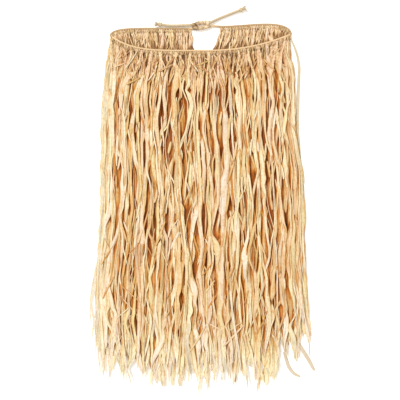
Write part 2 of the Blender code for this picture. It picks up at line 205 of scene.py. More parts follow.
def add_strip_uv(mesh, tubes, sections, sides):
    """A map with a straight strip for each tube, so that a long ribbon keeps its grain."""
    tube, section, side, corner = np.ogrid[:tubes, : sections - 1, :sides, :4]
    right, upper = corner % 3 > 0, corner > 1
    u = (tube + STRIP_GAP / 2 + (1 - STRIP_GAP) * (side + right) / sides) / tubes
    v = CAP_ROOM + (1 - 2 * CAP_ROOM) * (section + upper) / (sections - 1)
    quads = np.stack(np.broadcast_arrays(u, v), axis=-1)
    turn = TURN * np.arange(sides) / sides
    cap = np.stack([CAP_SIZE[0] / tubes * np.cos(turn), CAP_SIZE[1] * np.sin(turn)], axis=-1)
    middles = (np.arange(tubes) + 0.5) / tubes
    caps = [np.stack([middles, np.full(tubes, v)], axis=-1)[:, None] + cap for v in (0.01, 0.99)]
    uvs = np.concatenate([part.ravel() for part in (quads, *caps)])
    mesh.uv_layers.new(name="OFBake").data.foreach_set("uv", uvs.astype(np.float32))


def add_piece(name, rings, marks, material, *nodes, sharp=False):
    """Link tubes as a piece that rides on the body and stands for the named nodes."""
    piece = bpy.data.objects.new(name, tube_mesh(name, rings, marks, sharp))
    piece.data.materials.append(material)
    link(piece)
    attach(piece, BODY)
    if nodes:
        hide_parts(*nodes)
    return piece

# %% [markdown]
# ## Raffia as a material
#
# Dry raffia is straw coloured. Strips on the outside of a bundle are painted cream, and those inside an
# orange brown, which is painted shade. Fine fibres run along each strip, with a brown fleck here and there.
# Marks on the points say which strip a point is on, how deep it lies, and where it is along and
# across the strip, so the fibres can follow every twist. A shader is arithmetic on such values, so a
# small class wraps what a node gives out, and its plus, minus and times each add a Math node.

# %% Arithmetic with shader nodes
class Signal:
    """What a shader node gives out, to be used like a number."""

    def __init__(self, socket):
        self.socket = socket

    def __add__(self, other):
        return compute("ADD", self, other)

    def __radd__(self, other):
        return compute("ADD", other, self)

    def __sub__(self, other):
        return compute("SUBTRACT", self, other)

    def __rsub__(self, other):
        return compute("SUBTRACT", other, self)

    def __mul__(self, other):
        return compute("MULTIPLY", self, other)


def feed(socket, value):
    """Link a signal to a socket, or set the socket to a number or a colour."""
    if isinstance(value, Signal):
        socket.id_data.links.new(value.socket, socket)
    else:
        socket.default_value = (*value, 1.0) if socket.type == "RGBA" else value


def new_node(kind, inputs, output=0, **settings):
    """A new node with some inputs fed, of which one is a signal at least, and what it gives out."""
    pairs = list(inputs.items() if isinstance(inputs, dict) else enumerate(inputs))
    tree = next(value.socket.id_data for _, value in pairs if isinstance(value, Signal))
    node = tree.nodes.new("ShaderNode" + kind)
    for key, value in settings.items():
        setattr(node, key, value)
    for key, value in pairs:
        feed(node.inputs[key], value)
    return Signal(node.outputs[output])


def compute(operation, *values):
    return new_node("Math", values, operation=operation)


def mix(kind, factor, a, b):
    return new_node("Mix", {0: factor, 6: a, 7: b}, 2, data_type="RGBA", blend_type=kind)


def ramp(stops, value):
    """The colour for a value from 0 to 1, with the stops, in percent, evenly apart."""
    node = value.socket.id_data.nodes.new("ShaderNodeValToRGB")
    elements = node.color_ramp.elements
    for place in np.linspace(0.0, 1.0, len(stops))[1:-1]:
        elements.new(place)
    for element, stop in zip(elements, stops):
        element.color = (*(share / 100 for share in stop), 1.0)
    feed(node.inputs[0], value)
    return Signal(node.outputs[0])

# %% Raffia materials
FIBRE_SCALE = (9.0, 14.0, 71.0)  # across, along, and from strip to strip
PATCH_SCALE = (1.2, 34.0, 131.0)
MOTTLE_SCALE = (330.0, 170.0, 120.0)
YELLOWER, REDDER = (0.99, 1.0, 0.80), (1.0, 0.95, 1.01)
FLECKED_NEAR, FLECKED_FAR = 0.7, 0.25  # how much the flecks show near the heading and further down


def raffia_material(name, roughness, grain, colours, gathered=None):
    """A raffia with colours from the deepest strips, in painted shade, to the palest, and others where it is
    gathered.
    """
    material = bpy.data.materials.new(name)
    material.use_nodes = True
    nodes = material.node_tree.nodes
    marks = nodes.new("ShaderNodeAttribute")
    marks.attribute_name = "marks"
    split = nodes.new("ShaderNodeSeparateColor")
    feed(split.inputs[0], Signal(marks.outputs["Color"]))
    tone, depth, along = (Signal(socket) for socket in split.outputs)
    across = Signal(marks.outputs["Alpha"])

    def noise(place, detail):
        return new_node("TexNoise", {"Vector": place, "Scale": 1.0, "Detail": detail})

    # Fibres, patches that change slowly along the strip, and edges darkened with painted shade
    strip = (across, along, tone)
    fibres, patches = (
        noise(new_node("CombineXYZ", [value * size for value, size in zip(strip, scale)]), detail)
        for scale, detail in ((FIBRE_SCALE, 3.0), (PATCH_SCALE, 2.0))
    )
    edge = compute("MAXIMUM", compute("ABSOLUTE", across - 0.5) - 0.30, 0.0)
    shade = depth * (0.80 + tone * 0.26) + (patches - 0.5) * 0.46 - edge * 1.5

    # Flecks: short brown marks, close together near the heading and few further down
    where = Signal(nodes.new("ShaderNodeTexCoord").outputs["Object"])
    mottle = noise(new_node("Mapping", {"Vector": where, "Scale": MOTTLE_SCALE}), 1.0)
    near_heading = compute("MAXIMUM", FLECKED_NEAR - along * 6.0, FLECKED_FAR)
    flecks = compute("MAXIMUM", (mottle - 0.50) * (4.0 * grain), 0.0)
    flecks = compute("MINIMUM", flecks, 0.70) * near_heading

    # Colour: by depth, which carries painted shade, and by strip, and a dark fibre is also a browner one
    colour = ramp(colours, shade)
    if gathered:
        colour = mix("MIX", (near_heading - FLECKED_FAR) * 2.2, colour, ramp(gathered, shade))
    colour = mix("MULTIPLY", 1.0, colour, mix("MIX", compute("FRACT", tone * 7.3), YELLOWER, REDDER))
    light = (0.86 + fibres * (0.28 * grain)) * (1.0 - flecks * 0.62)
    tint = new_node("CombineColor", (light, light * light, light * light * light))
    bump = new_node("Bump", {"Strength": 0.35 * grain, "Distance": 0.4 * MM, "Height": fibres})
    finish = {
        "Base Color": mix("MULTIPLY", 1.0, colour, tint), "Normal": bump,
        "Roughness": roughness - 0.10 + fibres * 0.25, "Specular IOR Level": 0.22,
        "Sheen Weight": 0.04, "Sheen Roughness": 0.5,
    }
    for socket, value in finish.items():
        feed(nodes["Principled BSDF"].inputs[socket], value)
    return material


# From the deepest strips to the palest: the deep, dark colours are painted shade
DEEP_TO_PALE = [  # colours in percent
    (38, 10, 1), (60, 20, 2.2), (72, 37, 11), (76, 54, 28.5), (85, 72, 49), (96, 88, 71), (67, 61, 51),
]
GATHERED = [(19, 10, 4), (46, 29, 14), (72, 52, 32), (87, 68, 47), (94, 78, 57), (97, 87, 69)]
SHADED = [(24, 12, 5), (52, 32, 15), (77, 56, 35), (90, 73, 52), (95, 83, 65), (96, 88, 74)]
RAFFIA_FRONT = raffia_material("raffia_front", 0.52, 1.0, DEEP_TO_PALE, GATHERED)
RAFFIA_BACK = raffia_material("raffia_back", 0.58, 0.7, SHADED)
HEADING = raffia_material("gathered_raffia", 0.52, 0.7, [(28, 15, 6), (70, 52, 31), (92, 77, 55)])
PLAITED = raffia_material("plaited_raffia", 0.52, 0.4, [(38, 27, 16), (66, 51, 34), (97, 82, 60)])
KNOTTED = raffia_material("knotted_raffia", 0.52, 0.9, [(24, 15, 7), (66, 51, 33), (92, 80, 61)])
TIED = raffia_material("tied_raffia", 0.6, 0.4, [(46, 39, 29), (70, 64, 52), (82, 77, 67)])
THIN = raffia_material("thin_raffia", 0.6, 0.4, [(66, 61, 52), (74, 70, 62), (80, 77, 71)])
made = (RAFFIA_FRONT, RAFFIA_BACK, HEADING, PLAITED, KNOTTED, TIED, THIN)
print("materials:", [material.name for material in made])

# %% [markdown]
# ## The waist's line
#
# The plait follows the frame's line: it folds at the two sides, dips across the front, runs level
# across the back with rounded shoulders, and climbs to the knot. Two formulas keep that shape in a
# few sizes that can be read and changed.

# %% The waist
Side = namedtuple("Side", "name fold front_power back_rise back_power back_end back_pull pull_reach")
LEFT = Side("left", Vector((-0.2305, 0.4235)), 4.7, 0.0180, 9.0, -0.0285, 0.0000, 0.060)
RIGHT = Side("right", Vector((0.2215, 0.4265)), 2.3, 0.0262, 10.0, 0.0455, -0.0065, 0.130)
FRONT_DIP = 0.0385
FRONT_WAIST_HEIGHT = 10.2 * MM
FOLD_HEIGHT = 4.0 * MM
BACK_WAIST_HEIGHT = 2.8 * MM
FOLD_REACH = 16 * MM
WAIST_EASING = 14  # rounds
KNOT_CENTRE = Vector((-0.0030, 0.4490, 0.0))
KNOT_TILT = math.radians(8)
KNOT_HALF_LENGTH = 22.5 * MM
KNOT_LEG_OFFSET = 4.5 * MM
KNOT_LOW = 3.7 * MM
KNOT_HIGH = 9.0 * MM
STUB_LENGTH = 3.0 * MM


def side_of(x):
    """The side that x is on, and how far it is towards the fold there."""
    side = LEFT if x < 0 else RIGHT
    return side, min(1.0, abs(x / side.fold.x))


def front_y(x):
    side, share = side_of(x)
    middle = LEFT.fold.y - FRONT_DIP
    return middle + (side.fold.y - middle) * share**side.front_power


def back_y(x):
    side, share = side_of(x)
    pull = side.back_pull * (1 - float(ease(abs(x - side.back_end) / side.pull_reach)))
    return side.fold.y + side.back_rise * math.sqrt(1.0 - share**side.back_power) + pull


def at_knot(x, y, over):
    """A point beside the knot's centre, turned with the knot, at a share of its height."""
    cos, sin = math.cos(KNOT_TILT), math.sin(KNOT_TILT)
    z = KNOT_LOW + (KNOT_HIGH - KNOT_LOW) * over
    return KNOT_CENTRE + Vector((x * cos - y * sin, x * sin + y * cos, z))


def knot_stub(side, end):
    """The first two points of a cord that meets the knot: end is standing or free."""
    outward = -1 if side == "left" else 1
    y = -KNOT_LEG_OFFSET if end == "standing" else KNOT_LEG_OFFSET
    return [tuple(at_knot(outward * x, y, 0.5)) for x in (KNOT_HALF_LENGTH, KNOT_HALF_LENGTH + STUB_LENGTH)]


def waist_line():
    """The plait's line from the knot round by the left, the front and the right, back to the knot."""
    def back(start, fold):
        xs = start + (fold.x - start) * np.sin(np.linspace(0, math.pi / 2, 120))
        return [(x, back_y(x), BACK_WAIST_HEIGHT) for x in xs]

    points = knot_stub("left", "standing") + back(LEFT.back_end - 10 * MM, LEFT.fold)
    for x in np.linspace(LEFT.fold.x, RIGHT.fold.x, 260)[1:-1]:
        climb = float(ease(abs(x - side_of(x)[0].fold.x) / FOLD_REACH))
        points.append((x, front_y(x), FOLD_HEIGHT + (FRONT_WAIST_HEIGHT - FOLD_HEIGHT) * climb))
    points += reversed(knot_stub("right", "standing") + back(RIGHT.back_end, RIGHT.fold))
    line = np.array(points)
    return eased(resample(line, int(distances(line)[-1] / MM)), WAIST_EASING)


WAIST = waist_line()
print("the plait is", round(distances(WAIST)[-1], 3), "m long")

# %% [markdown]
# ## Plaits and twists
#
# In a plait of three, each strand swings from side to side and rises over its neighbours twice a
# swing: a sine across and one of twice the speed upward, a third of a turn apart. The plies of a
# twisted cord just go round. Both are lines offset from a middle line, so one function makes both.

# %% Plaits and twisted cords
def plies(line, pitch, swing, lift, twisted=False):
    """The lines of the three plies of a cord that follows a line."""
    level, upward = frames_along(line)
    turn = TURN * distances(line)[:, None] / pitch
    lines = []
    for k in range(3):
        angle = turn + TURN * k / 3
        rise = np.cos(angle) if twisted else np.sin(2 * angle)
        lines.append(line + level * swing * np.sin(angle) + upward * lift * rise)
    return np.array(lines)


def cord_rings(lines, half_width, half_height, sides=8):
    """Oval sections round each line of (count, points, 3)."""
    level, upward = frames_along(lines)
    angles = TURN * np.arange(sides) / sides
    across = level[..., None, :] * (half_width * np.cos(angles))[:, None]
    up = upward[..., None, :] * (half_height * np.sin(angles))[:, None]
    return lines[..., None, :] + across - up


def plain_marks(rings, rng, depth=(0.5, 0.9)):
    """Marks for tubes that need no more than a tone each and their place along and across."""
    marks = np.zeros((*rings.shape[:3], 4))
    marks[..., 0] = rng.uniform(0.3, 1.0, (len(rings), 1, 1))
    marks[..., 1] = rng.uniform(*depth, (len(rings), 1, 1))
    steps = np.linalg.norm(np.diff(rings.mean(axis=2), axis=1), axis=-1)
    marks[:, 1:, :, 2] = np.cumsum(steps, axis=1)[..., None]
    marks[..., 3] = np.linspace(0.2, 0.8, rings.shape[2])
    return marks


PLAIT_PITCH = 13 * MM
PLAIT_SWING = 1.35 * MM
PLAIT_LIFT = 0.85 * MM
PLAIT_STRAND = (1.35 * MM, 1.05 * MM)
middle = resample(WAIST, int(distances(WAIST)[-1] / (1.3 * MM)))
rings = cord_rings(plies(middle, PLAIT_PITCH, PLAIT_SWING, PLAIT_LIFT), *PLAIT_STRAND)
marks = plain_marks(rings, seeded(3))
painted_light_by_height = ease((rings[..., 2] - FOLD_HEIGHT) / (4 * MM))  # painted light: the higher the band lies, the paler it is painted
over = (rings.mean(axis=2)[..., 2] - middle[:, 2]) / PLAIT_LIFT  # from -1 beneath to 1 on top
own = seeded(4).uniform(0, 0.16, (3, 1, 1))
# Painted light and shade: the raised front and the plies on top are painted paler, the low back and the
# plies beneath darker
marks[..., 1] = 0.22 + 0.70 * painted_light_by_height + own + 0.20 * over[..., None] - 0.06
waistband = ("waistband_front", "waistband_back_left", "waistband_back_right")
plait = add_piece("plait", rings, marks, PLAITED, *waistband)
print("plait:", len(plait.data.polygons), "faces")

# %% [markdown]
# ## The tie ends
#
# The two ends of the waist cord leave the knot and lie free on the surface, one slanting up to the
# right and one along the back. Each is a twisted cord with a stop knot and a short brush of loose
# fibres.

# %% The free ends of the cord
TIE_ROUTES = {  # from the knot to the stop knot
    "right": [(40.0, 466.0, 4.8), (60.0, 474.2, 4.3), (78.0, 481.3, 4.3), (93.0, 486.8, 6.0)],
    "left": [(-45.0, 449.4, 4.8), (-64.0, 448.7, 4.3), (-85.0, 448.9, 4.3), (-103.0, 450.8, 6.0)],
}
BRUSH_LENGTH = 18 * MM
BRUSH_STRIPS = 16
TIP_SECTIONS = 48
WRAPS = 2.6


def cord_tip(side, place, heading, rng):
    """A stop knot of close wraps, and a brush of loose strips that spread from it."""
    heading = Vector(heading).normalized()
    level = Vector((heading.y, -heading.x, 0)).normalized()
    basis = np.array([level, heading, level.cross(heading)])
    t = np.linspace(0, 1, TIP_SECTIONS)
    turns = TURN * WRAPS * t
    radius = 3.9 * MM + 0.5 * MM * np.sin(turns * 0.7)
    wrap = np.stack([radius * np.cos(turns), 0.9 * MM + t * 5.4 * MM, 0.8 * radius * np.sin(turns)], axis=1)
    wrap_rings = cord_rings((wrap @ basis + np.array(place))[None], 1.7 * MM, 1.5 * MM)
    angle = rng.uniform(0, TURN, (BRUSH_STRIPS, 1))
    spread = rng.uniform(0.8, 5.2, (BRUSH_STRIPS, 1)) * MM * t**1.3 + 1.2 * MM
    reach = rng.uniform(0.72, 1.0, (BRUSH_STRIPS, 1)) * BRUSH_LENGTH
    strips = np.stack([spread * np.cos(angle), reach * t, 0.75 * spread * np.sin(angle)], axis=-1)
    strips = strips @ basis + np.array(place)
    strips[..., 2] = np.maximum(strips[..., 2], 0.9 * MM)
    rings = np.concatenate([wrap_rings, cord_rings(strips, 0.8 * MM, 0.35 * MM)])
    return add_piece(f"cord_tip_{side}", rings, plain_marks(rings, rng), TIED, f"tie_tip_{side}")


for side, route in TIE_ROUTES.items():
    line = smooth_line([*knot_stub(side, "free"), *(np.array(route) * MM)], 1.2 * MM)
    rng = seeded(len(side))
    rings = cord_rings(plies(line, 11 * MM, 1.75 * MM, 1.75 * MM, twisted=True), 1.9 * MM, 1.9 * MM)
    name = f"cord_end_{side}"
    tie = add_piece(name, rings, plain_marks(rings, rng), TIED, f"tie_end_{side}")
    tip = cord_tip(side, line[-1], line[-1] - line[-4], rng)

# %% [markdown]
# ## The knot
#
# A reef knot is two bights that hold each other. Each goes over, under and round the other, so its
# line swings between a low and a high level. The second is the first one turned half round and over.

# %% The knot
KNOT_LEG = [  # x and y in mm, and how far on top: from the end of a bight to its middle
    (-22.5, -4.5, 0.5), (-19.6, -4.5, 0.5), (-15.0, -4.2, 1.0), (-8.0, -5.0, 0.6),
    (0.0, -6.4, 0.0), (8.0, -7.2, 0.5), (14.5, -4.8, 1.0), (16.8, 0.0, 1.0),
]


def bight_line(turned):
    whole = KNOT_LEG + [(x, -y, over) for x, y, over in reversed(KNOT_LEG[:-1])]
    if turned:
        whole = [(-x, y, 1 - over) for x, y, over in whole]
    points = [at_knot(x * MM, y * MM, over) for x, y, over in whole]
    return resample(smooth_line(points, 0.8 * MM), 110)


bights = [plies(bight_line(turned), 10 * MM, 1.9 * MM, 1.7 * MM, twisted=True) for turned in (False, True)]
rings = cord_rings(np.concatenate(bights), 2.5 * MM, 2.1 * MM)
rings[..., 2] = np.maximum(rings[..., 2], 0.3 * MM)  # flat where it rests
marks = plain_marks(rings, seeded(9), depth=(0.45, 1.0))
marks[..., 1] -= 0.60 * ease((KNOT_CENTRE.x - 2 * MM - rings[..., 0]) / (12 * MM))  # darker towards its left
add_piece("tied_knot", rings, marks, KNOTTED, "knot")
print("the knot has", len(rings), "plies")

# %% [markdown]
# ## Lanes
#
# Each gather of the heading holds a few ribbons. They wander down in lanes that squeeze together and
# part but never cross, as locks of hair do. The lanes are the frame's own, so every ribbon follows
# the solid lock that it stands for, and ends near where that lock ends.

# %% The skirt's outline and its layers
Line = namedtuple("Line", "y left right back_under back_upper front_1 front_2 front_3 top")
LINES = [Line(*(size * MM for size in row)) for row in (
    (360, -238.5, 232.5, 0.5, 4, 8.2, 12.6, 16.8, 20.8),
    (270, -247, 236, 0.5, 4.9, 9.9, 14.8, 19.7, 24.4),
    (180, -251, 237.5, 0.5, 5, 10.1, 15.1, 20.1, 25),
    (90, -252, 248, 0.5, 5, 10.1, 15.1, 20.1, 25),
    (0, -251.5, 252, 0.5, 5, 10.1, 15.1, 20.1, 25),
    (-90, -256, 252.5, 0.5, 4.9, 9.9, 14.8, 19.7, 24.5),
    (-180, -264, 256, 0.5, 4.8, 9.6, 14.3, 19, 23.6),
    (-270, -266, 264, 0.5, 4.4, 8.8, 13.1, 17.4, 21.6),
    (-360, -265, 270, 0.5, 3.7, 7.4, 11, 14.6, 18.1),
    (-470, -262, 269, 0.5, 2.9, 5.8, 8.6, 11.4, 14.1),
)]
Layer = namedtuple("Layer", "name above locks_per_node every seed ribbons root_floor")
LAYERS = {
    "front": [
        Layer("front_1", "front_2", 6, 2, 11, 4, 0.0088),
        Layer("front_2", "front_3", 8, 2, 12, 3, 0.0111),
        Layer("front_3", "top", 9, 1, 13, 2, 0.0134),
    ],
    "back": [
        Layer("back_under", "back_upper", 8, 2, 21, 3, 0.0005),
        Layer("back_upper", "front_1", 6, 2, 22, 5, 0.0034),
    ],
}
ROOT_RISE = {"front": 0.0019, "back": 0.0026}
KIND = {"front": "front", "back_left": "back", "back_right": "back"}
NODES = {"front": 6, "back": 3}
WAVES = [(2, 0.20, 0.55), (5, 0.22, 0.38), (9, 0.16, 0.27)]  # how many across, strength, length
WAVES_GROW_IN = 0.25
PLAIT_EDGE = 3.1 * MM
SEAM = 0.3 * MM
HEADING_DEPTH = 9.0 * MM
HEADING_FLOOR = {"front": 8.5 * MM, "back": 0.0}
HEADING_TOP = {"front": 15.6 * MM, "back": 6.6 * MM}
HEADING_ENDS = {
    "front": (-0.2265, 0.2175),
    "back_left": (-0.2120, LEFT.back_end - SEAM),
    "back_right": (RIGHT.back_end + SEAM, 0.2020),
}
WAIST_Y = {"front": front_y, "back": back_y}
LOCK_WIDTH = 0.0094
LANE_FILL = 0.80
LOCK_LENGTH = 0.810
SIDE_SHORTENING = {"left": 0.040, "right": 0.060}
BACK_EXTRA = 0.012
ROOT_CLEAR = 0.020
TIP_CLEAR = 0.035
TIP_WIDTH = 0.45
USUAL_LENGTH, SHORT_LENGTH = (0.945, 1.022), (0.80, 0.93)
SHORT_SHARE = 0.16  # of the locks in the top layer
FILLED = (0.72, 1.0)  # the share of its room that a lock takes
LAYER_CLEAR = 0.0007
BACK_INSET = 0.010
OPENING_LEAN = 0.0165
OPENING_CLOSES = {"left": 0.022, "right": 0.016}
EDGE_BAND = 0.060
EDGE_THIN = 0.45


def at_line(column, y):
    lines = LINES[::-1]
    return np.interp(y, [line.y for line in lines], [getattr(line, column) for line in lines])


def inside_of(x, y):
    """How far a point is from the nearer side of the skirt."""
    return np.minimum(x - at_line("left", y), at_line("right", y) - x)


def thinning(x, y):
    """The share of their height that the layers have at a point: they are thinner at the sides."""
    return EDGE_THIN + (1 - EDGE_THIN) * np.clip(inside_of(x, y) / EDGE_BAND, 0.0, 1.0)


def panel_sides(panel, y):
    left, right = at_line("left", y), at_line("right", y)
    share_down = (LINES[0].y - y) / (LINES[0].y - LINES[-1].y)
    if panel == "back_left":
        return left + BACK_INSET, LEFT.back_end + OPENING_CLOSES["left"] * share_down
    if panel == "back_right":
        return RIGHT.back_end - OPENING_LEAN - OPENING_CLOSES["right"] * share_down, right - BACK_INSET
    return left, right


def heading_foot(panel, share):
    """(x, y) on the heading's lower edge, at a share of the way across the panel."""
    start, end = HEADING_ENDS[panel]
    x = start + (end - start) * share
    line = WAIST_Y[KIND[panel]]
    slope = (line(x + MM) - line(x - MM)) / (2 * MM)
    return x, line(x) - PLAIT_EDGE * math.hypot(1, slope) - 2 * SEAM - HEADING_DEPTH


def lane_x(panel, layer, share, y):
    """The x at a height y, for a share across a layer whose lanes squeeze and part but never cross."""
    left, right = panel_sides(panel, y)
    grown = ease((heading_foot(panel, share)[1] - y) / WAVES_GROW_IN) * (1 - abs(2 * share - 1) ** 6)
    phases = seeded(layer.seed).uniform(0, TURN, (len(WAVES), 2))
    moved = share
    for (count, strength, length), (p, q) in zip(WAVES, phases):
        across, down = TURN * count * share, TURN * y / length
        slanting, standing = math.cos(q), 1 - abs(math.cos(q))
        wave = slanting * np.sin(across + down + p) + standing * math.sin(across + q) * np.sin(down + p)
        moved = moved + grown * strength / (TURN * count) * wave
    return left + (right - left) * moved

# %% [markdown]
# A lock draws its random numbers in the same order as in the frame, from the same seeds, which gives
# its own middle line, its floor and its rise, and where it ends.

# %% One lock's line
def lock_line(panel, layer, left_share, right_share, rng):
    """Rows of (y, x, floor, rise) down one lock, from its heading to its tip."""
    x, foot_y = heading_foot(panel, (left_share + right_share) / 2)
    side, share = side_of(x)
    full = LOCK_LENGTH - SIDE_SHORTENING[side.name] * share**6 + (0.0 if panel == "front" else BACK_EXTRA)
    short = layer.name == "front_3" and rng.random() < SHORT_SHARE
    tip_y = foot_y - full * rng.uniform(*(SHORT_LENGTH if short else USUAL_LENGTH))
    rng.uniform(0.3, 0.7)  # the ridge's place, which only the solid needs
    rows = [(foot_y, x, layer.root_floor, ROOT_RISE[KIND[panel]])]
    stations = [line.y for line in LINES[:: layer.every] if foot_y - ROOT_CLEAR > line.y > tip_y + TIP_CLEAR]
    for y in (*stations, tip_y):
        low, high = lane_x(panel, layer, left_share, y), lane_x(panel, layer, right_share, y)
        half = min(LOCK_WIDTH * rng.uniform(*FILLED), LANE_FILL * (high - low)) / 2
        half *= TIP_WIDTH if y == tip_y else 1
        room = max(0.0, (high - low) / 2 - half) * 0.8
        centre = (low + high) / 2 + rng.uniform(-room, room)
        rng.uniform(-0.35, 0.35)  # the ridge's place at this height
        floor = at_line(layer.name, y)
        rise = (at_line(layer.above, y) - floor - LAYER_CLEAR) * rng.uniform(*FILLED)
        rows.append((y, centre, floor, rise))
    return np.array(rows, float)

# %% [markdown]
# Raffia clings. Neighbouring ribbons lean on each other for a hand's length and part again. That
# leaves long slits in the shape of lenses, with brown strips showing deeper down. Each slit here
# pushes the ribbons of the upper layers aside, so that they pile up into pale sheets between slits.

# %% Slits between the ribbons
Slit = namedtuple("Slit", "x y half_length half_width peak slant")
Slits = namedtuple("Slits", "lowest across down half_length half_width share")
SLIT_SIZES = [  # from which y upward, their pitch across and down, and the range of each size, in mm
    Slits(-460, 37, 140, (50, 135), (3.0, 11.0), 0.95),
    Slits(-460, 27, 80, (28, 70), (0.5, 3.0), 0.70),
    Slits(250, 21, 40, (12, 32), (0.7, 2.6), 0.60),
]
SLIT_REACH = 12 * MM
SLIT_FIELD = (-0.28, 0.43)  # the leftmost x and the highest y
FIELD_WIDTH = 560  # in mm, as the pitches are
SLIT_SEEDS = {"front": 31, "back_left": 32, "back_right": 33}


def scatter_slits(seed):
    """Slits all over the skirt, at most one in each cell of a pattern like a brick wall."""
    rng = seeded(seed)
    slits = []
    for sizes in SLIT_SIZES:
        narrow, wide = sizes.half_width
        for row, y in enumerate(np.arange(sizes.lowest * MM, SLIT_FIELD[1], sizes.down * MM)):
            small = 1.0 if sizes.lowest > 0 else 0.25 + 0.75 * float(ease((0.37 - y) / 0.12))
            small *= 1 - 0.42 * float(ease((-0.05 - y) / 0.20))
            for column in range(int(FIELD_WIDTH / sizes.across)):
                slit = Slit(
                    x=SLIT_FIELD[0] + sizes.across * MM * (column + row % 2 / 2 + rng.normal(0, 0.32)),
                    y=y + rng.uniform(-0.5, 0.5) * sizes.down * MM,
                    half_length=rng.uniform(*sizes.half_length) * small * MM,
                    half_width=(narrow + (wide - narrow) * rng.random() ** 1.4) * small * MM,
                    peak=rng.uniform(-0.6, 0.6),
                    slant=rng.normal(0, 0.05),
                )
                if rng.random() < sizes.share:
                    slits.append(slit)
    return slits


def part_at_slits(slits, x, y, half):
    """How far the slits push ribbons aside, and how much they squeeze them; half is half a width."""
    moved, squeezed = np.zeros_like(x), np.ones_like(x)
    rows = np.arange(len(x))
    for slit in slits:
        t = (y - slit.y) / slit.half_length
        if np.abs(t).min() > 1 or np.abs(x - slit.x).min() > 3 * SLIT_REACH:
            continue
        gap = x[rows, np.abs(t).argmin(axis=1)] - slit.x
        near = np.exp(-((gap / SLIT_REACH) ** 2))
        opened = np.clip(np.minimum((1 + t) / (1 + slit.peak), (1 - t) / (1 - slit.peak)), 0, 1)
        opened = (0.35 * opened + 0.65 * ease(opened)) * near[:, None]
        push = slit.half_width + 0.85 * half * min(1.0, slit.half_width / (4 * MM))
        moved += opened * (np.where(gap < 0, -1, 1)[:, None] * push + slit.slant * t * slit.half_length)
        squeezed *= 1 - 0.45 * opened
    return moved, squeezed


SLITS = {panel: scatter_slits(seed) for panel, seed in SLIT_SEEDS.items()}
print("slits in the front:", len(SLITS["front"]))

# %% [markdown]
# ## Ribbons
#
# A strip of raffia is a thin band with a slight fold along its middle and ragged edges. Its section
# has four corners: two edges, and a ridge on top and underneath. The band rolls about its own line,
# so it shows its full width here and its edge there, and now and then it turns over.

# %% Ribbon sections
THICKNESS = 0.45 * MM
SECTIONS = 120
CORNERS = [(1, 0), (0, 0), (-1, 0), (0, 1)]  # which edge, or none at the ridge, and 1 underneath
ACROSS = [1.0, 0.48, 0.0, 0.52]  # how far across the strip each corner is


def ribbon_rings(centres, left, right, roll, fold):
    """Four-cornered rings along lines of shape (ribbons, sections, 3), with an edge on each side."""
    level, upward = frames_along(centres)
    cos, sin = np.cos(roll)[..., None], np.sin(roll)[..., None]
    across = level * cos + upward * sin
    out = upward * cos - level * sin
    rings = []
    for edge, under in CORNERS:
        sideways = (right if edge > 0 else left)[..., None] * edge
        raised = 0 if edge else fold[..., None] - under * THICKNESS
        rings.append(centres + across * sideways + out * raised)
    return np.stack(rings, axis=2)


def ribbon_marks(tone, depth, along):
    """Marks from a tone for each ribbon, and a depth and a place along at each corner of a section."""
    marks = np.empty((*depth.shape[:2], len(CORNERS), 4))
    marks[..., 0] = tone[:, None, None]
    marks[..., 1] = depth
    marks[..., 2] = along
    marks[..., 3] = ACROSS
    return marks

# %% [markdown]
# ## From the heading to the hem
#
# All ribbons of one node are worked out at once, as arrays with a row for each ribbon and a column
# for each section. A ribbon starts in a gather of the heading and gets to its lock's lane through a
# tangle as long as a hand is wide. Further down it wanders about the lane, makes room for the slits,
# and is bent here and there, as raffia dries.

# %% Where the ribbons of one node start and end
GATHERS = {"front": 74, "back_left": 33, "back_right": 30}
ROOT_ENDS = {"front": (-0.2295, 0.2205), "back_left": (-0.2275, -0.0290), "back_right": (0.0460, 0.2190)}
GATHER_SPREAD = 1.1  # gathers, between a ribbon's place and where it is knotted on
TIP_SPREAD = {"front": (-18 * MM, 45 * MM), "back": (-10 * MM, 30 * MM)}  # about the end of the lock
TORN = [(0.60, (0.01, 0.08)), (0.10, (0.08, 0.45))]  # the share of ribbons, and how many metres are gone
HEM_DROP = [  # x, and how far the front's ribbons hang past the locks there, in mm
    (-0.230, 34), (-0.200, 16), (-0.165, 13), (-0.130, 4), (-0.095, 9), (-0.060, 22), (-0.030, 16),
    (0.005, 6), (0.040, 30), (0.060, 37), (0.100, 31), (0.130, 8), (0.150, -6), (0.190, -8), (0.220, -12),
]
Strands = namedtuple("Strands", "locks middle place level root_x foot tip")  # one row for each ribbon


def read_table(rows, at):
    """The second value of a table's rows, eased between their first values."""
    return np.interp(at, [row[0] for row in rows], [row[1] for row in rows])


def gather_place(panel, gather):
    """(x, y) where a gather is bound, just under the plait."""
    start, end = HEADING_ENDS[panel]
    low, high = ROOT_ENDS[panel]
    x = low + (high - low) * (gather + 0.5) / GATHERS[panel]
    return heading_foot(panel, (x - start) / (end - start))


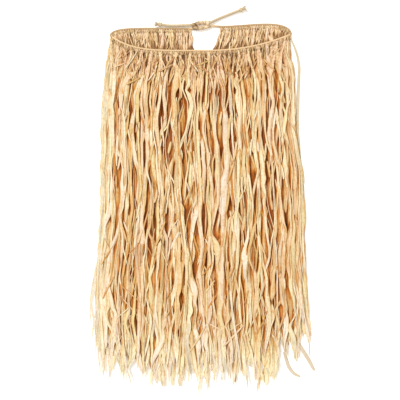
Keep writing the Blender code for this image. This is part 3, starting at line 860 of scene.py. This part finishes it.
def node_strands(panel, node, rng):
    """The ribbons of a node: lock, share of the panel, place in the lock, layer, and their ends."""
    kind = KIND[panel]
    layers = LAYERS[kind]
    strands = []
    for level, layer in enumerate(layers):
        lock_rng = seeded([layer.seed, node])
        shares = np.linspace(node / NODES[kind], (node + 1) / NODES[kind], layer.locks_per_node + 1)
        for left_share, right_share in zip(shares, shares[1:]):
            lock = lock_line(panel, layer, left_share, right_share, lock_rng)
            for k in range(layer.ribbons):
                part = (k + 0.5) / layer.ribbons
                middle = left_share + (right_share - left_share) * part
                gather = round(middle * GATHERS[panel] - 0.5 + rng.normal(0, GATHER_SPREAD))
                if layer.name == "front_3":
                    gather = 2 * round(gather / 2)
                x, foot = gather_place(panel, min(max(gather, 0), GATHERS[panel] - 1))
                tip = lock[-1, 0] + rng.uniform(*TIP_SPREAD[kind])
                if panel == "front":
                    tip -= read_table(HEM_DROP, x) * MM
                for torn_share, gone in TORN:
                    if rng.random() < torn_share:
                        tip += rng.uniform(*gone)
                strands.append((lock, middle, part - 0.5, level / (len(layers) - 1), x, foot, tip))
    locks, *columns = zip(*strands)
    return Strands(locks, *(np.array(column)[:, None] for column in columns))

# %% The lines of one node's ribbons
ROOT_ABOVE_FOOT = (10.0 * MM, 9.0 * MM, 3.0 * MM)  # for the lowest, the middle and the top layer
LEVELS = (0.0, 0.5, 1.0)
COVERING_SHARE = 0.7  # of the top layer's ribbons start higher and hide the bindings
COVERING_ABOVE_FOOT = 8.5 * MM
GATHERED_WIDTH = {"front": (0.60, 0.80, 0.50), "back": (0.50, 0.60, 0.68)}  # a share of the full width
WIDTHS = {"lowest": (11.0, 18.0), "broad": (10.0, 17.0), "usual": (4.8, 9.5), "thread": (1.6, 3.6)}  # in mm
BROAD_BELOW, THREADS_ABOVE = 0.38, 0.82  # of a random number from 0 to 1
TURNING_SHARE = 0.35  # of the ribbons turn right over
WIDE_SHARE = 0.15  # of the ribbons wander far from their lane
FIRM_SHARE = 0.22  # of the ribbons hardly make room for a slit
SPREAD = (7.0, 13.0)  # in mm, of a lock's ribbons: above, and in the lowest layer
TANGLE_LENGTH = 0.085
Z_LOW = 0.5 * MM
Z_HIGH = 31.0 * MM
MOST_ON_EDGE = {"front": 3.5 * MM, "back": 1.6 * MM}  # how far an edge stands up
RIGHT_INSET = [(0.09, 0.0), (0.18, 0.008), (0.27, 0.008), (0.36, 0.008), (0.42, 0.004)]  # y, and how much
Bundle = namedtuple("Bundle", "panel down to_tip level tone own")  # what the marks of ribbons need


def sway(panel, strands, lane, y, down, half, rng):
    """The x of each ribbon at each section, and how much the slits squeeze it there."""
    each = (len(y), 1)
    low, high = panel_sides(panel, y)
    upper = strands.level > 0
    lane = np.where(upper, lane, 0.4 * lane + 0.6 * (low + (high - low) * strands.middle))
    tamed = 0.35 + 0.65 * ease(inside_of(lane, y) / 0.03)
    own = wander(rng, down, 0.17, 3.0 * MM) + wander(rng, down, 0.085, 1.4 * MM, bent=True)
    own = own + np.where(rng.random(each) < WIDE_SHARE, wander(rng, down, 0.13, 9 * MM), 0.0)
    x = lane + strands.place * np.where(upper, *SPREAD) * MM + own * ease(down / 0.10) * tamed
    start = strands.root_x + rng.uniform(-2.4, 2.4, each) * MM
    grown = ease(down / TANGLE_LENGTH) if panel == "front" else np.minimum(down / 0.050, 1)
    x = start + (x - start) * grown
    pushed = np.minimum(1, 2 * strands.level) * np.where(rng.random(each) < FIRM_SHARE, 0.25, 1.0)
    moved, squeezed = part_at_slits(SLITS[panel], x, y, half)
    x = x + moved * pushed * tamed
    tangle = ease(down / 0.010) * (1 - ease((down - 0.02) / TANGLE_LENGTH))
    x = x + wander(rng, down, 0.040, 2.4 * MM, bent=True) * tangle
    x = x + wander(rng, down, 0.030, 0.45 * MM, bent=True)
    hook = ease(1 - (y - strands.tip) / 0.08) * rng.normal(0, 8 * MM, each)
    kinks = wander(rng, down, 0.060, 2.0 * MM, bent=True) * ease((down - 0.25) / 0.25)
    return x + hook + kinks, 1 - (1 - squeezed) * pushed


def keep_inside(panel, x, y, half):
    """The x with what strays over the skirt's outline drawn back to it, and the right side's inset."""
    if panel == "front":
        for side, out in (("left", -1), ("right", 1)):
            over = out * (x - at_line(side, y)) + half - 2.5 * MM
            x = np.where(over > 0, x - out * over * 0.85, x)
    return x - read_table(RIGHT_INSET, y) * ease((x - 0.13) / 0.09)


def node_ribbons(panel, node):
    """Rings for all the ribbons that hang from one node's heading, and what their marks need."""
    kind = KIND[panel]
    rng = seeded([node, len(panel), 5])
    strands = node_strands(panel, node, rng)
    level, foot = strands.level, strands.foot
    each = level.shape
    top = foot + np.interp(level, LEVELS, ROOT_ABOVE_FOOT)
    top = np.where((level == 1) & (rng.random(each) < COVERING_SHARE), foot + COVERING_ABOVE_FOOT, top)
    y = top + (strands.tip - top) * np.linspace(0.0, 1.0, SECTIONS)
    lane, floor, rise = (
        np.array([np.interp(row, lock[::-1, 0], lock[::-1, column]) for row, lock in zip(y, strands.locks)])
        for column in (1, 2, 3)
    )
    down = np.maximum(foot - y, 0.0)
    to_tip = y - strands.tip

    # Width: threads, ribbons and broad sheets, narrow in the tangle and at the tip, with ragged edges
    kinds = rng.random(each)
    broad, usual = rng.uniform(*WIDTHS["broad"], each), rng.uniform(*WIDTHS["usual"], each)
    full = np.where(kinds < BROAD_BELOW, broad, usual)
    full = np.where(kinds > THREADS_ABOVE, rng.uniform(*WIDTHS["thread"], each), full)
    full = full * (1 - 0.22 * ease((strands.root_x - 0.02) / 0.08) if panel == "front" else 0.62)
    full = np.where(level == 0, rng.uniform(*WIDTHS["lowest"], each), full) * MM
    narrow = np.interp(level, LEVELS, GATHERED_WIDTH[kind])
    narrow = narrow + (1 - narrow) * ease(down / 0.08)
    point = 0.30 + 0.70 * ease(to_tip / rng.uniform(0.008, 0.045, each))
    point = point * (1 - 0.35 * ease(1 - to_tip / 0.09))
    half = full / 2 * narrow * point * np.clip(1 + wander(rng, down, 0.06, 0.22, bent=True), 0.4, 1.7)
    x, squeezed = sway(panel, strands, lane, y, down, half, rng)
    half = half * squeezed
    x = keep_inside(panel, x, y, half)

    # Height: within the lock's layer, and now and then over or under the next one
    weave = wander(rng, down, 0.06, 2.0 * MM) * ease(down / 0.03) * ease(to_tip / 0.045)
    creases = wander(rng, down, 0.018, 0.30 * MM, bent=True)
    z = (floor + rise * rng.uniform(0.15, 0.95, each) + weave + creases) * thinning(x, y)

    # Roll: slow, with a few turns right over, and creases
    roll = wander(rng, down, 0.10, 0.30) + wander(rng, down, 0.025, 0.10, bent=True)
    roll = roll * np.where(level == 0, 0.4, 1.0)
    turns_over = (rng.random(each) < TURNING_SHARE) & (level > 0)
    turn = math.pi * ease((down - rng.uniform(0.10, 0.65, each)) / 0.04)
    roll = roll + np.where(turns_over, turn, 0.0)
    half = half / np.maximum(1, half * np.abs(np.sin(roll)) / MOST_ON_EDGE[kind])
    left, right = (half * np.clip(1 + wander(rng, down, 0.016, 0.16, bent=True), 0.5, 1.6) for _ in range(2))
    fold = half * np.clip(0.18 + wander(rng, down, 0.12, 0.18), -0.1, 0.7)
    reach = half * 1.2 * np.abs(np.sin(roll)) + np.abs(fold * np.cos(roll)) + THICKNESS
    z = np.clip(z, Z_LOW + reach, Z_HIGH - reach)
    rings = ribbon_rings(np.stack([x, y, z], axis=-1), left, right, roll, fold)
    own = rng.normal(0, 0.07, (*each, 1))
    return rings, Bundle(panel, down, to_tip, level, rng.uniform(0.0, 1.0, len(y)), own)

# %% [markdown]
# Strips that lie open are painted cream, and those beneath them brown: painted shade, for the shade
# that falls under the strips above. A map of the fringe's upper surface tells them apart: the greatest
# height of any ribbon in each small cell, blurred. The further a point lies below it, the browner it is
# painted. Near the hem the painted shade fades.

# %% A map of the upper surface, and how pale each ribbon is
MAP_CORNER = (-0.30, -0.53)
MAP_CELL = (2.5 * MM, 8.0 * MM)
MAP_SIZE = (240, 125)
MAP_BLUR = (2.2, 1.4)  # in cells


def surface_map(all_rings):
    """The blurred height of the upper surface, from the rings of all the ribbons."""
    surface = np.zeros(MAP_SIZE)
    for rings in all_rings:
        ridge = rings[:, :, 1]
        for edge in (rings[:, :, 0], rings[:, :, 2]):
            for share in (0.0, 0.25, 0.5, 0.75, 1.0):
                points = ridge + (edge - ridge) * share
                cells = ((points[..., :2] - MAP_CORNER) / MAP_CELL).astype(int)
                cells = np.clip(cells, 0, np.array(MAP_SIZE) - 1)
                np.maximum.at(surface, (cells[..., 0], cells[..., 1]), points[..., 2])
    for axis, blur in enumerate(MAP_BLUR):
        kernel = np.exp(-0.5 * (np.arange(-6, 7) / blur) ** 2)
        surface = np.apply_along_axis(np.convolve, axis, surface, kernel / kernel.sum(), mode="same")
    return surface


def read_map(surface, x, y):
    """The map's height at each point, eased between its cells."""
    u, v = (
        np.clip((value - corner) / cell - 0.5, 0, size - 1.001)
        for value, corner, cell, size in zip((x, y), MAP_CORNER, MAP_CELL, MAP_SIZE)
    )
    i, j = u.astype(int), v.astype(int)
    low = surface[i, j] * (1 - u + i) + surface[i + 1, j] * (u - i)
    high = surface[i, j + 1] * (1 - u + i) + surface[i + 1, j + 1] * (u - i)
    return low * (1 - v + j) + high * (v - j)


def bundle_marks(rings, bundle, surface):
    """Marks for a node's ribbons: pale on top and at the hem, browner in painted shade where ribbons lie
    over them.
    """
    front = bundle.panel == "front"
    x, y, z = np.moveaxis(rings, -1, 0)
    down = bundle.down[..., None]
    reach = (3.4 + 4.4 * ease(down / 0.09) if front else 3.0) * MM
    # Painted shade: the further a point lies below the map's surface, the browner it is painted
    painted_shade = ease((read_map(surface, x, y) - z + 0.6 * MM) / reach)
    # Less painted shade far down the skirt and at its sides
    painted_shade *= 1 - 0.12 * ease((down - 0.48) / 0.20)
    painted_shade *= 0.2 + 0.8 * ease((inside_of(x, y) + 2 * MM) / 0.035)
    base, spread = (0.70, 1.0) if front else (0.87, 1.5)
    # Painted shade: the lowest layer is painted darker still
    lowest = 0.10 * (bundle.level[..., None] == 0) * ease(3 * painted_shade)
    # Painted light: strips along the left edge are painted paler, where the key light comes from the left
    painted_light_left = 0.20 * ease(1 - (x - at_line("left", y)) / 0.05)
    # In the front's middle, pale strips are painted a little paler and shaded ones darker: painted light and
    # painted shade
    middle = front * ease((down - 0.08) / 0.06) * ease((0.52 - down) / 0.10)
    depth = base + painted_light_left + 0.06 * middle - (0.68 + 0.45 * middle) * painted_shade - lowest + bundle.own * spread
    # Near the hem the painted shade fades, and the strips are painted their palest
    hem = ease((0.125 - bundle.to_tip[..., None]) / 0.12)
    depth = depth + (1.0 - depth) * (0.95 - 0.45 * painted_shade) * hem
    return ribbon_marks(bundle.tone, np.clip(depth, 0.0, 1.0), down)

# %% The fringe
RAFFIA = {"front": RAFFIA_FRONT, "back": RAFFIA_BACK}
RINGS, BUNDLES = {}, {}
for panel, kind in KIND.items():
    for node in range(NODES[kind]):
        RINGS[panel, node], BUNDLES[panel, node] = node_ribbons(panel, node)
surface = surface_map(RINGS.values())
FRINGE = {panel: [] for panel in KIND}
for (panel, node), rings in RINGS.items():
    marks = bundle_marks(rings, BUNDLES[panel, node], surface)
    names = f"ribbons_{panel}_{node + 1}", f"fringe_{panel}_{node + 1}"
    FRINGE[panel].append(add_piece(names[0], rings, marks, RAFFIA[KIND[panel]], names[1], sharp=True))
count = sum(len(rings) for rings in RINGS.values())
print("ribbons:", count, "up to", round(surface.max() / MM, 1), "mm high")

# %% [markdown]
# ## Loose fibres
#
# Torn raffia sheds fibres, which lie on the ribbons at all angles, most of them near the heading.
# Each is a thin crooked ribbon of its own, so the same helpers make it. A handful of strands that
# stray over the skirt's sides are listed one by one.

# %% Loose fibres on top
Fibres = namedtuple("Fibres", "panel count highest lowest length slant half_width depth sections")
LOOSE = [  # how many, between which distances below the heading, and the ranges of their sizes, in mm
    Fibres("front", 130, 1, 75, (12, 45), 0.45, (0.9, 2.6), 0.50, 16),
    Fibres("front", 50, 60, 590, (50, 190), 0.12, (0.9, 2.6), 0.50, 36),
    Fibres("front", 90, 430, 680, (22, 80), 0.42, (0.8, 2.8), 0.54, 20),
    Fibres("back_left", 34, 1, 55, (12, 36), 0.40, (0.9, 2.6), 0.50, 14),
    Fibres("back_right", 34, 1, 55, (12, 36), 0.40, (0.9, 2.6), 0.50, 14),
    Fibres("front", 150, 100, 450, (18, 85), 0.20, (0.9, 3.4), 0.64, 18),
]
NEAR_HEADING = 100  # in mm
FLECKED, CLEAN = 0.02, 0.2  # added to a fibre's place along: raffia is flecked only where that is small
SURFACE = {"front": "top", "back": "front_1"}
HEADING_FROM, HEADING_RAMP = 0.340, 0.05  # from which y, and over how far, it becomes the heading's


def surface_height(panel, x, y):
    """The height of the top of a panel's ribbons, and of its heading above them."""
    kind = KIND[panel]
    near_heading = ease((y - HEADING_FROM) / HEADING_RAMP)
    height = at_line(SURFACE[kind], y) * (1 - near_heading) + HEADING_TOP[kind] * near_heading
    return height * thinning(x, y)


def loose_fibres(fibres, rng):
    """Rings and marks for fibres scattered on a panel."""
    each = (fibres.count, 1)
    starts = np.array([heading_foot(fibres.panel, share) for share in rng.uniform(0.01, 0.99, fibres.count)])
    down = rng.uniform(fibres.highest, fibres.lowest, each) * MM
    near = fibres.lowest < NEAR_HEADING
    if near:
        down = down * rng.uniform(0.2, 1.0, each)
    t = np.linspace(0, 1, fibres.sections)
    along = rng.uniform(*fibres.length, each) * MM * t
    angle = rng.normal(0, fibres.slant, each)
    y = starts[:, 1:] - down - along * np.cos(angle) + wander(rng, along, 0.012, 0.4 * MM, bent=True)
    y = np.minimum(y, starts[:, 1:] + 6 * MM)
    x = starts[:, :1] + along * np.sin(angle) + wander(rng, along, 0.026, 1.0 * MM, bent=True)
    x = keep_inside(fibres.panel, x, y, 0.0)
    z = surface_height(fibres.panel, x, y) + rng.uniform(-2.6, 0.8, each) * MM
    z = np.maximum(z + wander(rng, along, 0.02, 0.9 * MM, bent=True), 1.6 * MM)
    half = rng.uniform(*fibres.half_width, each) * MM * (0.25 + 0.75 * np.sin(math.pi * t) ** 0.5)
    roll = wander(rng, along, 0.03, 0.22)
    rings = ribbon_rings(np.stack([x, y, z], axis=-1), half, half, roll, half * 0.3)
    depth = np.clip(rng.normal(fibres.depth, 0.13, each), 0, 1) + 0 * t
    along = along + (FLECKED if near else CLEAN)
    return rings, ribbon_marks(rng.uniform(0, 1, fibres.count), depth[..., None], along[..., None])


for number, fibres in enumerate(LOOSE):
    name = f"loose_fibres_{number + 1}"
    rings, marks = loose_fibres(fibres, seeded([41, number]))
    add_piece(name, rings, marks, RAFFIA[KIND[fibres.panel]], sharp=True)
    print(name, len(rings), "fibres")

# %% Strands that stray
SIDE_STRANDS = [  # width in mm and then (x, y, height over the surface) in mm
    (7.5, [(220, 418, 7), (231, 393, 4), (240, 360, 2), (241, 312, 2),
           (239, 262, 2), (238, 205, 2), (242, 140, 2), (246, 98, 3)]),
    (10.0, [(236, -338, 5), (246, -355, 2), (262, -382, 2), (274, -405, 2), (281, -415, 2)]),
    (9.0, [(203, -366, 6), (209, -384, 3), (216, -405, 2), (228, -422, 2), (244, -430, 2)]),
    (3.0, [(262, -330, 5), (268, -352, 3), (267, -378, 2)]),
]
TOP_STRANDS = [
    (4.5, [(-258, -120, 6), (-268, -160, 5), (-276, -205, 4), (-279, -245, 3), (-274, -290, 3),
           (-277, -330, 2)]),
    (3.0, [(-262, -170, 5), (-273, -220, 4), (-282, -262, 3), (-278, -300, 2)]),
    (2.4, [(-180, -252, 22), (-190, -262, 23), (-203, -272, 22), (-213, -281, 21)]),
    (2.4, [(-160, 385, 16), (-172, 366, 19), (-178, 358, 20), (-194, 338, 20)]),
    (3.4, [(-92, 92, 23), (-84, 74, 26), (-83, 40, 26), (-88, 0, 24), (-90, -22, 22)]),
    (3.6, [(-92, 92, 23), (-82, 80, 26), (-70, 52, 26), (-64, 12, 26), (-58, -20, 24)]),
    (2.6, [(-78, -60, 24), (-68, -46, 26), (-60, -36, 25), (-56, -48, 23)]),
]
STRAY_SECTIONS = 60


def stray_ribbon(stray):
    width, points = stray
    rng = seeded([51, points[0][1] + 999])
    line = resample(smooth_line(np.array(points) * MM, 2 * MM), STRAY_SECTIONS)[None]
    along = distances(line[0])[None]
    line = line + np.stack([wander(rng, along, 0.02, 0.5 * MM, bent=True) for _ in range(3)], axis=-1)
    half = width / 2 * MM * (0.3 + 0.7 * np.sin(math.pi * np.linspace(0, 1, STRAY_SECTIONS)) ** 0.4)[None]
    line[..., 2] = np.maximum(line[..., 2], 0.6 * MM + 0.35 * half)
    rings = ribbon_rings(line, half, half, wander(rng, along, 0.05, 0.15), half * 0.15)
    depth = np.full((1, STRAY_SECTIONS, 1), 0.85)
    return rings, ribbon_marks(rng.uniform(0.3, 1, 1), depth, along[..., None] + CLEAN)


STRAYS = {"side_strands": (THIN, SIDE_STRANDS), "stray_strands": (RAFFIA_FRONT, TOP_STRANDS)}
for name, (material, strays) in STRAYS.items():
    rings, marks = (np.concatenate(parts) for parts in zip(*map(stray_ribbon, strays)))
    add_piece(name, rings, marks, material, sharp=True)
    print(name, len(rings))

# %% [markdown]
# ## The headings
#
# Under the plait, the ribbons of each gather come down from both sides and are bound together. The
# legs of neighbouring gathers meet at the plait, so two rows of small eyelets stay open: one under
# the plait, and one between the bindings.

# %% The openwork headings
LEG_SECTIONS = 12
BINDING_SECTIONS = 30
BINDING_TURNS = 1.7


def heading_parts(panel, rng):
    """The lines of the legs and of the bindings of one panel's gathers."""
    kind = KIND[panel]
    half_step = (ROOT_ENDS[panel][1] - ROOT_ENDS[panel][0]) / GATHERS[panel] / 2
    legs, bindings = [], []
    t = np.linspace(0, 1, LEG_SECTIONS)
    for gather in range(GATHERS[panel]):
        x, foot_y = gather_place(panel, gather)
        thin = float(thinning(x, foot_y))
        low, high = HEADING_FLOOR[kind] * thin, HEADING_TOP[kind] * thin
        middle = (low + high) / 2
        for side, rank in ((-1, 0), (-1, 1), (1, 0), (1, 1)):
            top_x = x + side * half_step * rng.uniform(0.75, 1.15)
            top = (top_x, WAIST_Y[kind](top_x) - 1.5 * MM, middle + (rank - 0.5) * 2.0 * MM)
            foot_x = x + side * rng.uniform(0.2, 0.9) * MM
            foot = (foot_x, foot_y + 1.0 * MM, middle + (rank - 0.3) * 2.4 * MM)
            belly = (0, 0, (rank - 0.2) * 1.6 * MM)
            legs.append(np.outer(1 - t, top) + np.outer(t, foot) + np.outer(np.sin(math.pi * t), belly))
        turn = np.linspace(0, TURN * BINDING_TURNS, BINDING_SECTIONS) + rng.uniform(0, 6)
        tall = max(1.2 * MM, (high - low) / 2 - 0.9 * MM)
        climb = foot_y + rng.uniform(0.6, 2.6) * MM + 1.8 * MM * np.linspace(0, 1, BINDING_SECTIONS)
        wrap = [x + 2.1 * MM * np.cos(turn), climb + 0.4 * MM * np.sin(turn), middle + tall * np.sin(turn)]
        bindings.append(np.stack(wrap, axis=1))
    return np.array(legs), np.array(bindings)


LEG_DEPTH = {"front": (0.05, 0.85), "back": (0.30, 1.0)}
for panel, kind in KIND.items():
    rng = seeded([7, len(panel)])
    legs, bindings = heading_parts(panel, rng)
    rings = cord_rings(legs, 1.15 * MM, 0.45 * MM, 6)
    heading = add_piece(f"heading_{panel}", rings, plain_marks(rings, rng, depth=LEG_DEPTH[kind]), HEADING)
    rings = cord_rings(bindings, 0.6 * MM, 0.5 * MM, 6)
    # The bindings are painted dark: painted shade, for the dark eyelets beside them
    bound = add_piece(f"bindings_{panel}", rings, plain_marks(rings, rng, depth=(0.0, 0.25)), HEADING)

# %% [markdown]
# ## Floor and light
#
# A pale floor, a broad soft key light from the upper left, and an even white surround. It is slightly
# warm, like light that has bounced off raffia, so the gaps glow orange and brown instead of grey.

# %% Floor and light
paper = bpy.data.materials.new("pale_floor")
paper.use_nodes = True
for socket, value in {
    "Base Color": (0.95, 0.95, 0.95),
    "Roughness": 0.9,
    "Emission Color": (1.0, 0.98, 0.95),
    "Emission Strength": 0.28,
}.items():
    feed(paper.node_tree.nodes["Principled BSDF"].inputs[socket], value)
floor_mesh = bpy.data.meshes.new("floor")
floor_mesh.from_pydata([(-20, -20, 0), (20, -20, 0), (20, 20, 0), (-20, 20, 0)], [], [(0, 1, 2, 3)])
floor_mesh.materials.append(paper)
floor = bpy.data.objects.new("floor", floor_mesh)
floor.location.z = -0.2 * MM
link(floor)
floor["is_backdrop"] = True

world = bpy.data.worlds.new("surround")
world.use_nodes = True
world.node_tree.nodes["Background"].inputs["Color"].default_value = (1.0, 0.94, 0.85, 1.0)
world.node_tree.nodes["Background"].inputs["Strength"].default_value = 0.62
bpy.context.scene.world = world

key_data = bpy.data.lights.new("key", "SUN")
key_data.energy = 2.15
key_data.angle = math.radians(12)
key_data.color = (1.0, 0.98, 0.95)
key = bpy.data.objects.new("key", key_data)
key.rotation_mode = "QUATERNION"
key.rotation_quaternion = Vector((-0.52, 0.43, 1.00)).to_track_quat("Z", "Y")
link(key)

bpy.context.scene.view_settings.view_transform = "Standard"
bpy.context.scene.view_settings.look = "None"

# %% Measure and finish
NEW_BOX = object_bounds()
pieces = [piece for piece in bpy.data.objects if piece.type == "MESH"]
faces = [sum(len(face.vertices) - 2 for face in piece.data.polygons) for piece in pieces]
print("triangles:", sum(faces), "the most in one piece:", max(faces))
for name, box in (("CAD box:", CAD_BOX), ("new box:", NEW_BOX)):
    print(name, [tuple(round(v, 4) for v in corner) for corner in box])
